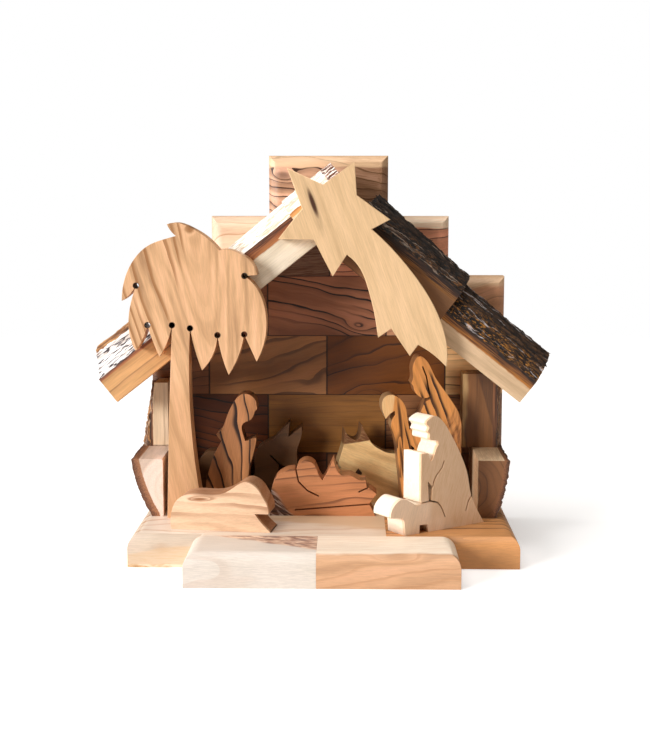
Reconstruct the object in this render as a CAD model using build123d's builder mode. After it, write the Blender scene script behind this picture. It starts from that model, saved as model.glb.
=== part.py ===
import os
from math import cos, radians, sin

from build123d import *

# Olive-wood nativity stable, glued up from sawn boards, bark-faced logs and flat cut-outs.
# Millimetres. X to the viewer's right, Y into the stable, Z up.
# The origin is the middle of the wide base board's underside.

# Base: two edge-glued boards with a two-block step in front, top edges rounded over
base_width = 150.0
base_depth = 84.0
base_thickness = 12.7
base_left_width = 99.0
step_width = 101.0
step_depth = 27.0
step_left_width = 48.5
base_round = 5.5

# Back wall: bricks in running bond, stepped in at the top, where the two narrow courses sit a little to
# the right, outer front edges rounded over
wall_thickness = 12.0
wall_rise = 35.7
wall_overhang = 0.75
bricks_across = 3
course_count = 6
bottom_course_trim = 7.2
top_course_shifts = (0.6, 1.2)
wall_round = 5.5

# Roof: two slopes of half-round log slabs with a square-cut ridge block on the left slope, each slab with
# its own height of sawn front face and of bark crown
roof_pitch = 38.2
roof_depth = 34.6
ridge_height = 109.5
ridge_offset = -2.7
left_eave_overhang = 9.2
right_eave_overhang = 3.3
ridge_block_rise = 23.5
ridge_block_seam = 2.0
left_upper_length = 48.0
right_upper_length = 57.0
ridge_block_face = 16.2
left_upper_face = 15.2
left_lower_face = 11.9
right_upper_face = 20.0
right_lower_face = 10.6
slab_back_height = 15.0
slab_crown_share = 0.62
ridge_block_crown = 22.0
left_upper_crowns = (21.5, 20.5)
left_lower_crowns = (22.0, 22.8)
right_upper_crowns = (30.0, 26.2)
right_lower_crowns = (23.2, 22.2)
left_bare_depth = 9.0
left_bare_height = 16.8
left_tear_width = 1.2
left_tear_height = 2.4
left_eave_chip = 18.0

# Side walls: a quartered log lying on the base each side, with a split log standing on it
lower_log_length = 41.6
lower_log_height = 23.5
lower_log_width = 12.8
left_log_foot = 4.6
right_log_foot = 7.7
left_log_belly_share = 0.78
right_log_belly_share = 0.88
left_log_overhang = 3.0
right_log_overhang = -1.0
upper_log_depth = 13.6
left_upper_log_width = 9.7
left_upper_log_inset = 1.9
left_upper_log_height = 27.1
left_upper_log_lean = 4.2
right_upper_log_width = 14.6
right_upper_log_inset = 2.3
right_upper_log_height = 31.1
upper_log_bulge = 1.6

# Saw cuts in the cut-outs
kerf_width = 0.6
kerf_hole_radius = 1.1

# Palm tree
palm_thickness = 10.0
palm_crown_width = 57.0
palm_crown_height = 59.9
palm_height = 117.9
palm_trunk_foot = 15.0
palm_trunk_waist = 7.6
palm_waist_height = 56.0
palm_waist_lean_share = 0.25
palm_log_gap = 2.0
palm_crown_reach = 16.7

# Comet star
star_thickness = 9.0
star_width = 67.4
star_height = 80.3
star_left = 18.3
star_drop = 48.3

# Lying sheep
sheep_length = 39.5
sheep_height = 19.4
sheep_thickness = 13.0
sheep_turn = -8.0
sheep_x_share = -0.395
sheep_y_share = 0.115

# Manger with the infant
manger_length = 43.2
manger_height = 23.4
manger_thickness = 11.0
manger_x_share = -0.149
manger_y_share = 0.385

# Kneeling figure
kneeler_width = 21.3
kneeler_height = 48.5
kneeler_thickness = 10.0
kneeler_x_share = -0.328
kneeler_y_share = 0.488

# Donkey
donkey_length = 44.2
donkey_height = 34.2
donkey_thickness = 9.5
donkey_x_share = -0.363
donkey_y_share = 0.69

# Ox
ox_length = 43.0
ox_height = 33.2
ox_thickness = 9.5
ox_x_share = 0.035
ox_y_share = 0.649
ox_turn = 8.0

# Standing figure with a crook
stander_width = 33.0
stander_headroom = 46.1
stander_thickness = 10.0
stander_turn = 6.0
stander_log_gap = 5.2
stander_y_share = 0.53

# Kneeling shepherd with a lamb
shepherd_length = 46.2
shepherd_height = 44.9
shepherd_thickness = 11.0
shepherd_turn = 35.4
shepherd_x_share = 0.422
shepherd_y_share = 0.277

# Levels and planes that several pieces share
base_front = -base_depth / 2
base_left = -base_width / 2
wall_front = base_depth / 2 - wall_thickness
roof_front = wall_front - roof_depth
wall_width = base_width + 2 * wall_overhang
brick_length = wall_width / bricks_across
wall_height = ridge_height + wall_rise
brick_height = (wall_height + bottom_course_trim) / course_count
wall_top = base_thickness + wall_height
lower_log_top = base_thickness + lower_log_height
ridge = (ridge_offset, 0, base_thickness + ridge_height)
left_log_outside = base_left - left_log_overhang
left_log_inside = left_log_outside + lower_log_width
right_log_outside = base_width / 2 + right_log_overhang
right_log_inside = right_log_outside - lower_log_width

pitch_cos = cos(radians(roof_pitch))
pitch_sin = sin(radians(roof_pitch))
left_slope_length = (base_width / 2 + left_eave_overhang + ridge_offset) / pitch_cos
right_slope_length = (base_width / 2 + right_eave_overhang - ridge_offset) / pitch_cos
left_underside = Plane(origin=ridge, z_dir=(-pitch_sin, 0, pitch_cos))
right_underside = Plane(origin=ridge, z_dir=(pitch_sin, 0, pitch_cos))

os.makedirs("parts", exist_ok=True)


def finish(piece, name):
    """Label a finished piece and write it under its own name."""
    piece.part.label = name
    export_step(piece.part, f"parts/{name}.step")


def standing_plane(x, y, turn=0.0):
    """An upright plane on the base, facing the viewer, turned about its left foot."""
    angle = radians(turn)
    return Plane(
        origin=(x, y, base_thickness),
        x_dir=(cos(angle), sin(angle), 0),
        z_dir=(sin(angle), -cos(angle), 0),
    )


def sized(shares, width, height):
    """Outline points from shares of a width and a height."""
    return [(across * width, up * height) for across, up in shares]


def saw_line(points):
    """One stretch of a sawn outline, straight between two points and curved through more."""
    if len(points) == 2:
        Line(*points)
    else:
        Spline(*points)


def cut_out(plane, run_shares, width, height, thickness, kerf_shares=(), hole_shares=()):
    """A flat piece sawn to an outline, with saw kerfs and through holes."""
    with BuildPart() as piece:
        with BuildSketch(plane):
            with BuildLine():
                for run in run_shares:
                    saw_line(sized(run, width, height))
            make_face()
            for kerf in kerf_shares:
                with BuildLine():
                    Polyline(*sized(kerf, width, height))
                trace(line_width=kerf_width, mode=Mode.SUBTRACT)
            for hole in hole_shares:
                with BuildLine():
                    Polyline(*sized(hole, width, height), close=True)
                make_face(mode=Mode.SUBTRACT)
        extrude(amount=thickness)
    return piece


# Base blank: the wide board and the step in one plan, rounded over along its open top edges
with BuildPart() as base_blank:
    with BuildSketch():
        Rectangle(base_width, base_depth)
        with Locations((0, base_front)):
            Rectangle(step_width, 2 * step_depth)
    extrude(amount=base_thickness)
    top_edges = base_blank.edges().group_by(Axis.Z)[-1]
    fillet(top_edges.sort_by(Axis.Y)[:-1], radius=base_round)

# The four blocks of the base, as their left and right edges and their front and back edges
step_front = base_front - step_depth
step_left = -step_width / 2
base_blocks = {
    "base_board_left": (base_left, base_left + base_left_width, base_front, -base_front),
    "base_board_right": (base_left + base_left_width, -base_left, base_front, -base_front),
    "step_block_left": (step_left, step_left + step_left_width, step_front, base_front),
    "step_block_right": (step_left + step_left_width, -step_left, step_front, base_front),
}
for name, (left, right, front, back) in base_blocks.items():
    with BuildPart() as block:
        add(base_blank.part)
        with Locations(((left + right) / 2, (front + back) / 2, base_thickness / 2)):
            Box(right - left, back - front, base_thickness, mode=Mode.INTERSECT)
    finish(block, name)

# Wall blank: the stepped outline, one brick wide at the top and full width from the third course
course_shifts = [*top_course_shifts, *[0.0] * (course_count - len(top_course_shifts))]
with BuildPart() as wall_blank:
    with BuildSketch(Plane.XZ.offset(-wall_front)):
        for course in range(bricks_across):
            step_top = wall_top - course * brick_height
            with Locations((course_shifts[course], (base_thickness + step_top) / 2)):
                Rectangle((course + 1) * brick_length, step_top - base_thickness)
    extrude(amount=-wall_thickness)
    front_edges = wall_blank.edges().group_by(Axis.Y)[0]
    fillet(front_edges.sort_by(Axis.Z)[1:], radius=wall_round)

# Bricks: courses counted from the top, every second one shifted by half a brick
for course in range(course_count):
    course_top = wall_top - course * brick_height
    course_bottom = course_top - brick_height
    if course == course_count - 1:
        course_bottom = base_thickness
    count = min(course + 1, bricks_across)
    half_width = count * brick_length / 2
    joints = [place * brick_length - half_width + course_shifts[course] for place in range(count + 1)]
    if course >= bricks_across and (course - bricks_across) % 2 == 0:
        shifted = [joint + brick_length / 2 for joint in joints[:-1]]
        joints = [-half_width, *shifted, half_width]
    for place, (left, right) in enumerate(zip(joints, joints[1:])):
        with BuildPart() as brick:
            add(wall_blank.part)
            middle_height = (course_top + course_bottom) / 2
            with Locations(((left + right) / 2, wall_front + wall_thickness / 2, middle_height)):
                Box(right - left, wall_thickness, course_top - course_bottom, mode=Mode.INTERSECT)
        finish(brick, f"wall_brick_{course + 1}_{place + 1}")


def slab_section(plane, face_height, crown, bare=False):
    """Cross-section of a roof slab: flat underside, sawn front and back, bark crown.

    A bare slab has lost its outer bark along the front, so the crown starts behind a torn step.
    """
    with BuildSketch(plane) as section:
        with BuildLine():
            crown_point = (slab_crown_share * roof_depth, crown)
            bark_start = (0, face_height)
            Line((0, 0), bark_start)
            if bare:
                tear_foot = (left_bare_depth, left_bare_height)
                tear_top = (left_bare_depth + left_tear_width, left_bare_height + left_tear_height)
                Line(bark_start, tear_foot)
                Line(tear_foot, tear_top)
                bark_start = tear_top
            Spline(bark_start, crown_point, (roof_depth, slab_back_height))
            Line((roof_depth, slab_back_height), (roof_depth, 0))
            Line((roof_depth, 0), (0, 0))
        make_face()
    return section.sketch


def slope_point(side, along):
    """A point on a slope's underside at the roof's front, a distance down from the ridge."""
    return (ridge[0] + side * along * pitch_cos, roof_front, ridge[2] - along * pitch_sin)


def slab(side, top, bottom, face_height, crowns, bare=False):
    """A roof slab on one slope, from its upper to its lower end, with a crown height at each."""
    run = (pitch_cos, 0, -side * pitch_sin)
    upper = Plane(origin=slope_point(side, top), x_dir=(0, 1, 0), z_dir=run)
    lower = Plane(origin=slope_point(side, bottom), x_dir=(0, 1, 0), z_dir=run)
    with BuildPart() as piece:
        upper_end = slab_section(upper, face_height, crowns[0], bare)
        lower_end = slab_section(lower, face_height, crowns[1], bare)
        loft([upper_end, lower_end])
    return piece


# Roof slabs: the left slope runs over the ridge, the right slope butts against its underside, and the
# bark at the left slope's eave is chipped back from the sawn end
left_seam = ridge_block_seam + left_upper_length
ridge_block_crowns = (ridge_block_crown, ridge_block_crown)
ridge_block = slab(-1, -ridge_block_rise, ridge_block_seam, ridge_block_face, ridge_block_crowns)
finish(ridge_block, "roof_ridge_block")
left_upper = slab(-1, ridge_block_seam, left_seam, left_upper_face, left_upper_crowns)
finish(left_upper, "roof_slab_left_upper")
left_lower = slab(-1, left_seam, left_slope_length, left_lower_face, left_lower_crowns, bare=True)
eave_x, eave_y, eave_z = slope_point(-1, left_slope_length)
chip_angle = radians(roof_pitch - left_eave_chip)
chip = Plane(
    origin=(eave_x - left_lower_face * pitch_sin, eave_y, eave_z + left_lower_face * pitch_cos),
    z_dir=(-cos(chip_angle), 0, -sin(chip_angle)),
)
with BuildPart() as roof_slab_left_lower:
    add(left_lower.part)
    split(bisect_by=chip, keep=Keep.BOTTOM)
finish(roof_slab_left_lower, "roof_slab_left_lower")
right_upper = slab(1, 0, right_upper_length, right_upper_face, right_upper_crowns)
with BuildPart() as roof_slab_right_upper:
    add(right_upper.part)
    split(bisect_by=left_underside, keep=Keep.BOTTOM)
finish(roof_slab_right_upper, "roof_slab_right_upper")
right_lower = slab(1, right_upper_length, right_slope_length, right_lower_face, right_lower_crowns)
finish(right_lower, "roof_slab_right_lower")

# Lower side logs: outer edge, way inwards, width of the foot and reach of the bark at mid-height
lower_logs = {
    "left": (left_log_outside, 1, left_log_foot, left_log_belly_share),
    "right": (right_log_outside, -1, right_log_foot, right_log_belly_share),
}
for side, (outside, inwards, foot_width, belly_share) in lower_logs.items():
    inside = outside + inwards * lower_log_width
    foot = inside - inwards * foot_width
    belly = inside - inwards * lower_log_width * belly_share
    with BuildPart() as lower_log:
        with BuildSketch(Plane.XZ.offset(-wall_front)):
            with BuildLine():
                Line((inside, base_thickness), (inside, lower_log_top))
                Line((inside, lower_log_top), (outside, lower_log_top))
                bark_middle = (belly, base_thickness + lower_log_height / 2)
                ThreePointArc((outside, lower_log_top), bark_middle, (foot, base_thickness))
                Line((foot, base_thickness), (inside, base_thickness))
            make_face()
        extrude(amount=lower_log_length)
    finish(lower_log, f"side_log_{side}_lower")

# Upper side logs: bark edge, way inwards, width, height, lean of the bark and the roof plane above
left_upper_log_bark = left_log_outside + left_upper_log_inset
right_upper_log_bark = right_log_outside - right_upper_log_inset
upper_log_front = wall_front - upper_log_depth
upper_logs = {
    "left": (
        left_upper_log_bark,
        1,
        left_upper_log_width,
        left_upper_log_height,
        left_upper_log_lean,
        left_underside,
    ),
    "right": (
        right_upper_log_bark,
        -1,
        right_upper_log_width,
        right_upper_log_height,
        0,
        right_underside,
    ),
}
for side, (foot_bark, inwards, upper_width, upper_height, lean, underside) in upper_logs.items():
    flat = foot_bark + inwards * upper_width
    ends = ((lower_log_top, foot_bark), (lower_log_top + upper_height, foot_bark + inwards * lean))
    with BuildPart() as upper_log:
        for level, bark in ends:
            with BuildSketch(Plane.XY.offset(level)):
                with BuildLine():
                    bulge = (bark - inwards * upper_log_bulge, wall_front - upper_log_depth / 2)
                    Line((flat, upper_log_front), (flat, wall_front))
                    Line((flat, wall_front), (bark, wall_front))
                    ThreePointArc((bark, wall_front), bulge, (bark, upper_log_front))
                    Line((bark, upper_log_front), (flat, upper_log_front))
                make_face()
        loft()
        split(bisect_by=underside, keep=Keep.BOTTOM)
    finish(upper_log, f"side_log_{side}_upper")

# Palm tree: fronds as shares of the crown's width and height, and a trunk that flares to its foot
palm_kerf_end_shares = [
    (0.85, 0.655),
    (0.845, 0.27),
    (0.66, 0.265),
    (0.47, 0.31),
    (0.345, 0.33),
    (0.175, 0.33),
    (0.10, 0.59),
]
palm_right_shares = [
    [(0.32, 0.99), (0.39, 1.0), (0.48, 0.97), (0.57, 0.92), (0.68, 0.82)],
    [(0.68, 0.82), (0.75, 0.825), (0.82, 0.80), (0.89, 0.755), (0.93, 0.69), (0.94, 0.66)],
    [(0.94, 0.66), (0.85, 0.655)],
    [(0.85, 0.655), (0.90, 0.615), (0.95, 0.55), (0.99, 0.44), (1.0, 0.335), (0.985, 0.22),
     (0.93, 0.09)],
    [(0.93, 0.09), (0.845, 0.27)],
    [(0.845, 0.27), (0.80, 0.115), (0.735, 0.0)],
    [(0.735, 0.0), (0.69, 0.125), (0.66, 0.265)],
    [(0.66, 0.265), (0.62, 0.12), (0.55, 0.03)],
    [(0.55, 0.03), (0.505, 0.16), (0.47, 0.31)],
]
palm_left_shares = [
    [(0.345, 0.33), (0.31, 0.215), (0.255, 0.12)],
    [(0.255, 0.12), (0.21, 0.225), (0.175, 0.33)],
    [(0.175, 0.33), (0.14, 0.235), (0.09, 0.16)],
    [(0.09, 0.16), (0.045, 0.30), (0.05, 0.42), (0.10, 0.59)],
    [(0.10, 0.59), (0.055, 0.53), (0.0, 0.49)],
    [(0.0, 0.49), (0.03, 0.655), (0.095, 0.77), (0.185, 0.85), (0.27, 0.885), (0.38, 0.915)],
    [(0.38, 0.915), (0.34, 0.955), (0.32, 0.99)],
]
palm_foot_left = left_log_inside + palm_log_gap
crown_base = palm_height - palm_crown_height
palm_crown_plane = Plane(
    origin=(palm_foot_left - palm_crown_reach, roof_front, base_thickness + crown_base),
    x_dir=(1, 0, 0),
    z_dir=(0, -1, 0),
)
trunk_left = palm_crown_reach
waist_left = trunk_left + palm_waist_lean_share * (palm_trunk_foot - palm_trunk_waist)
waist_level = palm_waist_height - crown_base
with BuildPart() as palm_tree:
    with BuildSketch(palm_crown_plane):
        with BuildLine():
            for run in palm_right_shares:
                saw_line(sized(run, palm_crown_width, palm_crown_height))
            trunk_right_top = sized([palm_right_shares[-1][-1]], palm_crown_width, palm_crown_height)[0]
            trunk_left_top = sized([palm_left_shares[0][0]], palm_crown_width, palm_crown_height)[0]
            foot_right = (trunk_left + palm_trunk_foot, -crown_base)
            foot_left = (trunk_left, -crown_base)
            Spline(trunk_right_top, (waist_left + palm_trunk_waist, waist_level), foot_right)
            Line(foot_right, foot_left)
            Spline(foot_left, (waist_left, waist_level), trunk_left_top)
            for run in palm_left_shares:
                saw_line(sized(run, palm_crown_width, palm_crown_height))
        make_face()
        with Locations(*sized(palm_kerf_end_shares, palm_crown_width, palm_crown_height)):
            Circle(kerf_hole_radius, mode=Mode.SUBTRACT)
    extrude(amount=palm_thickness)
finish(palm_tree, "palm_tree")

# Comet star: five points and a tail that curves down to three tips
star_shares = [
    [(0.053, 0.97), (0.26, 0.89)],
    [(0.26, 0.89), (0.443, 1.0)],
    [(0.443, 1.0), (0.457, 0.84)],
    [(0.457, 0.84), (0.652, 0.722)],
    [(0.652, 0.722), (0.545, 0.675)],
    [(0.545, 0.675), (0.658, 0.585), (0.772, 0.475), (0.862, 0.37), (0.933, 0.26), (0.98, 0.14),
     (0.985, 0.0)],
    [(0.985, 0.0), (0.90, 0.067), (0.818, 0.11)],
    [(0.818, 0.11), (0.77, 0.055)],
    [(0.77, 0.055), (0.66, 0.19)],
    [(0.66, 0.19), (0.583, 0.145)],
    [(0.583, 0.145), (0.558, 0.275), (0.524, 0.385), (0.486, 0.47), (0.40, 0.55)],
    [(0.40, 0.55), (0.318, 0.445)],
    [(0.318, 0.445), (0.207, 0.625)],
    [(0.207, 0.625), (0.0, 0.627)],
    [(0.0, 0.627), (0.14, 0.775)],
    [(0.14, 0.775), (0.053, 0.97)],
]
star_plane = Plane(
    origin=(-star_left, roof_front, ridge[2] - star_drop),
    x_dir=(1, 0, 0),
    z_dir=(0, -1, 0),
)
comet_star = cut_out(star_plane, star_shares, star_width, star_height, star_thickness)
finish(comet_star, "comet_star")

# Lying sheep: head raised at the right, chin over a folded foreleg
sheep_shares = [
    [(0.0, 0.0), (0.01, 0.40), (0.08, 0.63), (0.20, 0.71), (0.34, 0.71), (0.52, 0.755), (0.63, 0.88),
     (0.75, 1.0), (0.85, 0.91), (0.92, 0.71), (0.97, 0.50), (0.975, 0.37)],
    [(0.975, 0.37), (0.84, 0.37)],
    [(0.84, 0.37), (0.91, 0.18), (1.0, 0.0)],
    [(1.0, 0.0), (0.0, 0.0)],
]
sheep_place = (base_width * sheep_x_share, base_front + base_depth * sheep_y_share)
sheep_plane = standing_plane(*sheep_place, sheep_turn).offset(-sheep_thickness)
sheep = cut_out(sheep_plane, sheep_shares, sheep_length, sheep_height, sheep_thickness)
finish(sheep, "lying_sheep")

# Manger: crib with the infant's rounded head at the left and the blanket's folds to the right
manger_shares = [
    [(0.0, 0.0), (0.01, 0.25), (0.02, 0.48), (0.065, 0.67), (0.14, 0.77), (0.25, 0.80)],
    [(0.25, 0.80), (0.28, 0.91), (0.345, 0.96), (0.41, 0.91), (0.445, 0.79), (0.495, 0.625)],
    [(0.495, 0.625), (0.54, 0.77), (0.60, 1.0)],
    [(0.60, 1.0), (0.63, 0.80), (0.67, 0.715), (0.75, 0.71), (0.82, 0.645), (0.90, 0.625)],
    [(0.90, 0.625), (0.905, 0.52)],
    [(0.905, 0.52), (1.0, 0.39)],
    [(1.0, 0.39), (0.93, 0.21)],
    [(0.93, 0.21), (0.99, 0.0)],
    [(0.99, 0.0), (0.0, 0.0)],
]
manger_kerf_shares = [
    [(0.94, 0.21), (0.235, 0.10)],
    [(0.245, 0.82), (0.27, 0.60), (0.355, 0.44), (0.46, 0.345)],
    [(0.83, 0.42), (0.92, 0.50)],
]
manger_plane = standing_plane(base_width * manger_x_share, base_front + base_depth * manger_y_share)
manger = cut_out(
    manger_plane.offset(-manger_thickness),
    manger_shares,
    manger_length,
    manger_height,
    manger_thickness,
    manger_kerf_shares,
)
finish(manger, "manger_with_infant")

# Kneeling figure: bowed veiled head, folded hands in front, robe spread behind
kneeler_shares = [
    [(0.0, 0.0), (0.0, 0.18), (0.02, 0.265), (0.088, 0.374), (0.188, 0.495), (0.325, 0.594)],
    [(0.325, 0.594), (0.265, 0.62), (0.219, 0.653)],
    [(0.219, 0.653), (0.347, 0.718), (0.426, 0.812), (0.504, 0.888), (0.60, 0.955), (0.75, 1.0),
     (0.92, 0.975), (0.99, 0.92)],
    [(0.99, 0.92), (0.995, 0.895), (1.0, 0.87), (0.965, 0.855), (0.945, 0.83), (0.90, 0.79),
     (0.80, 0.765)],
    [(0.80, 0.765), (0.71, 0.727), (0.725, 0.66), (0.767, 0.597)],
    [(0.767, 0.597), (0.844, 0.607), (0.921, 0.622), (0.985, 0.625)],
    [(0.985, 0.625), (0.968, 0.565), (0.919, 0.479), (0.86, 0.384), (0.831, 0.298), (0.824, 0.0)],
    [(0.824, 0.0), (0.0, 0.0)],
]
kneeler_plane = standing_plane(base_width * kneeler_x_share, base_front + base_depth * kneeler_y_share)
kneeler = cut_out(
    kneeler_plane.offset(-kneeler_thickness),
    kneeler_shares,
    kneeler_width,
    kneeler_height,
    kneeler_thickness,
)
finish(kneeler, "kneeling_figure")

# Donkey: lying, facing right, ears up, a dip in the back and a gap under the chin
donkey_shares = [
    [(0.01, 0.0), (0.0, 0.35), (0.03, 0.54), (0.085, 0.61), (0.17, 0.63), (0.265, 0.606), (0.37, 0.49),
     (0.488, 0.24)],
    [(0.488, 0.24), (0.54, 0.33), (0.55, 0.41), (0.546, 0.494), (0.56, 0.595), (0.58, 0.67)],
    [(0.58, 0.67), (0.647, 0.727), (0.733, 0.784)],
    [(0.733, 0.784), (0.80, 0.884), (0.886, 1.0)],
    [(0.886, 1.0), (0.877, 0.90), (0.871, 0.81)],
    [(0.871, 0.81), (0.996, 0.941)],
    [(0.996, 0.941), (1.0, 0.86), (0.982, 0.76), (0.957, 0.66), (0.952, 0.547), (0.961, 0.40),
     (0.948, 0.20), (0.932, 0.0)],
    [(0.932, 0.0), (0.01, 0.0)],
]
donkey_kerf_shares = [[(0.699, 0.577), (0.80, 0.445)]]
donkey_hole_shares = [
    [(0.78, 0.471), (0.856, 0.433), (0.899, 0.371), (0.876, 0.295), (0.80, 0.295), (0.775, 0.395)],
]
donkey_plane = standing_plane(base_width * donkey_x_share, base_front + base_depth * donkey_y_share)
donkey = cut_out(
    donkey_plane.offset(-donkey_thickness),
    donkey_shares,
    donkey_length,
    donkey_height,
    donkey_thickness,
    donkey_kerf_shares,
    donkey_hole_shares,
)
finish(donkey, "donkey")

# Ox: lying, facing left, two horns, rounded rump
ox_shares = [
    [(0.03, 0.0), (0.0, 0.22), (0.023, 0.47)],
    [(0.023, 0.47), (0.003, 0.522), (0.013, 0.573), (0.032, 0.649), (0.052, 0.739), (0.061, 0.841),
     (0.064, 0.943)],
    [(0.064, 0.943), (0.101, 0.859), (0.155, 0.813)],
    [(0.155, 0.813), (0.199, 0.831), (0.219, 0.901), (0.233, 1.0)],
    [(0.233, 1.0), (0.248, 0.945), (0.273, 0.886), (0.313, 0.789)],
    [(0.313, 0.789), (0.367, 0.717), (0.427, 0.67), (0.486, 0.636), (0.566, 0.625), (0.70, 0.605),
     (0.86, 0.58), (0.97, 0.45), (1.0, 0.0)],
    [(1.0, 0.0), (0.03, 0.0)],
]
ox_hole_shares = [[(0.166, 0.395), (0.195, 0.445), (0.235, 0.379), (0.20, 0.309)]]
ox_plane = standing_plane(base_width * ox_x_share, base_front + base_depth * ox_y_share, ox_turn)
ox = cut_out(
    ox_plane.offset(-ox_thickness),
    ox_shares,
    ox_length,
    ox_height,
    ox_thickness,
    hole_shares=ox_hole_shares,
)
finish(ox, "ox")

# Standing figure: hooded and bearded head in a plain profile, one arm out to a crook
stander_shares = [
    [(0.27, 0.0), (0.255, 0.105), (0.214, 0.29), (0.172, 0.45), (0.115, 0.54)],
    [(0.115, 0.54), (0.128, 0.585), (0.166, 0.62)],
    [(0.166, 0.62), (0.158, 0.648)],
    [(0.158, 0.648), (0.10, 0.628), (0.047, 0.595)],
    [(0.047, 0.595), (0.012, 0.64)],
    [(0.012, 0.64), (0.0, 0.69), (0.03, 0.733), (0.11, 0.752), (0.20, 0.735), (0.275, 0.69), (0.31, 0.62)],
    [(0.31, 0.62), (0.343, 0.52)],
    [(0.343, 0.52), (0.40, 0.565), (0.455, 0.61), (0.50, 0.655), (0.54, 0.695), (0.60, 0.717)],
    [(0.60, 0.717), (0.605, 0.745)],
    [(0.605, 0.745), (0.53, 0.728), (0.45, 0.745), (0.395, 0.80)],
    [(0.395, 0.80), (0.365, 0.825)],
    [(0.365, 0.825), (0.385, 0.865), (0.38, 0.91), (0.40, 0.965), (0.46, 1.0), (0.54, 0.978),
     (0.605, 0.925), (0.665, 0.86), (0.745, 0.80), (0.848, 0.725), (0.935, 0.655), (0.985, 0.595),
     (1.0, 0.51), (0.995, 0.30), (0.97, 0.0)],
    [(0.97, 0.0), (0.27, 0.0)],
]
stander_kerf_shares = [[(0.60, 0.735), (0.575, 0.80), (0.55, 0.87), (0.50, 0.935)]]
stander_hole_shares = [[(0.38, 0.10), (0.43, 0.12), (0.41, 0.40), (0.365, 0.42)]]
stander_height = ridge_height - stander_headroom
stander_right = right_log_inside - stander_log_gap
stander_left = stander_right - stander_width * cos(radians(stander_turn))
stander_plane = standing_plane(stander_left, base_front + base_depth * stander_y_share, stander_turn)
stander = cut_out(
    stander_plane.offset(-stander_thickness),
    stander_shares,
    stander_width,
    stander_height,
    stander_thickness,
    stander_kerf_shares,
    stander_hole_shares,
)
finish(stander, "standing_figure")

# Kneeling shepherd: hooded bowed head, arms round a tall bundle, a lamb lying at the knees
shepherd_shares = [
    [(0.15, 0.0), (0.14, 0.122)],
    [(0.14, 0.122), (0.122, 0.156)],
    [(0.122, 0.156), (0.0, 0.172)],
    [(0.0, 0.172), (0.02, 0.258), (0.06, 0.298), (0.11, 0.322), (0.163, 0.31), (0.215, 0.278),
     (0.27, 0.25), (0.31, 0.258)],
    [(0.31, 0.258), (0.31, 0.689)],
    [(0.31, 0.689), (0.384, 0.685)],
    [(0.384, 0.685), (0.411, 0.612)],
    [(0.411, 0.612), (0.432, 0.632), (0.455, 0.685), (0.489, 0.747)],
    [(0.489, 0.747), (0.488, 0.79)],
    [(0.488, 0.79), (0.43, 0.795)],
    [(0.43, 0.795), (0.395, 0.825), (0.395, 0.855), (0.375, 0.875), (0.388, 0.905), (0.36, 0.945),
     (0.40, 0.985), (0.462, 1.0), (0.512, 0.97), (0.61, 0.847), (0.711, 0.679), (0.758, 0.586),
     (0.812, 0.446), (0.84, 0.31), (0.873, 0.216), (0.931, 0.109), (1.0, 0.0)],
    [(1.0, 0.0), (0.39, 0.0)],
    [(0.39, 0.0), (0.383, 0.068)],
    [(0.383, 0.068), (0.30, 0.072)],
    [(0.30, 0.072), (0.297, 0.0)],
    [(0.297, 0.0), (0.15, 0.0)],
]
shepherd_kerf_shares = [
    [(0.305, 0.26), (0.415, 0.268), (0.49, 0.245), (0.523, 0.21), (0.556, 0.144), (0.573, 0.105)],
    [(0.555, 0.604), (0.529, 0.542), (0.476, 0.487), (0.45, 0.447), (0.432, 0.38)],
    [(0.865, 0.27), (0.823, 0.214), (0.797, 0.128)],
]
shepherd_hole_shares = [[(0.381, 0.442), (0.435, 0.388), (0.421, 0.262), (0.394, 0.262)]]
turn_cos = cos(radians(shepherd_turn))
turn_sin = sin(radians(shepherd_turn))
shepherd_foot = (
    base_width * shepherd_x_share - shepherd_length * turn_cos,
    base_front + base_depth * shepherd_y_share - shepherd_length * turn_sin,
)
shepherd_plane = standing_plane(*shepherd_foot, shepherd_turn)
shepherd = cut_out(
    shepherd_plane.offset(-shepherd_thickness),
    shepherd_shares,
    shepherd_length,
    shepherd_height,
    shepherd_thickness,
    shepherd_kerf_shares,
    shepherd_hole_shares,
)
finish(shepherd, "shepherd_with_lamb")
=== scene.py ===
# %% [markdown]
# # A nativity stable in olive wood
# The real piece is glued up from three kinds of stock: sanded blocks for the base and the back wall,
# half-round logs that keep their bark for the roof and the side walls, and flat boards sawn to an
# outline for the palm, the star, the animals and the figures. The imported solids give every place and
# size, so this file only dresses them: softened edges, bark with real relief, and wood with grain.

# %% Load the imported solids
import math

import bmesh
import bpy
from mathutils import Matrix, Quaternion, Vector
from mathutils.bvhtree import BVHTree
from mathutils.kdtree import KDTree


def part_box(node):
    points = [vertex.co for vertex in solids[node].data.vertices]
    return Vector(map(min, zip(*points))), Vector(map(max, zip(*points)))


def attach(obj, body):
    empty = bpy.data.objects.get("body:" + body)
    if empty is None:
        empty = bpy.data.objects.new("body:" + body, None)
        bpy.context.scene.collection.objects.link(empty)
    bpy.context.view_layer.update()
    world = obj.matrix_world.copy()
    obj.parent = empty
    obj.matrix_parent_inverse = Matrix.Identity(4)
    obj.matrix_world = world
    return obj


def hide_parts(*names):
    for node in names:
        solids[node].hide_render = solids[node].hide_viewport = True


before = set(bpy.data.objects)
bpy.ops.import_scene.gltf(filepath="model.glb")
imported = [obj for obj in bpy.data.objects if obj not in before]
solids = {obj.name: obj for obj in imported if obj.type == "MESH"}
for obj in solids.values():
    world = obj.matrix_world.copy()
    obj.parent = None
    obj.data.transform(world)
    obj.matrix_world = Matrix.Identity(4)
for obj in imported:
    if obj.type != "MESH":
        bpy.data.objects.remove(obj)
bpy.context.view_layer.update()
scene = bpy.context.scene
mm = 0.001


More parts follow.
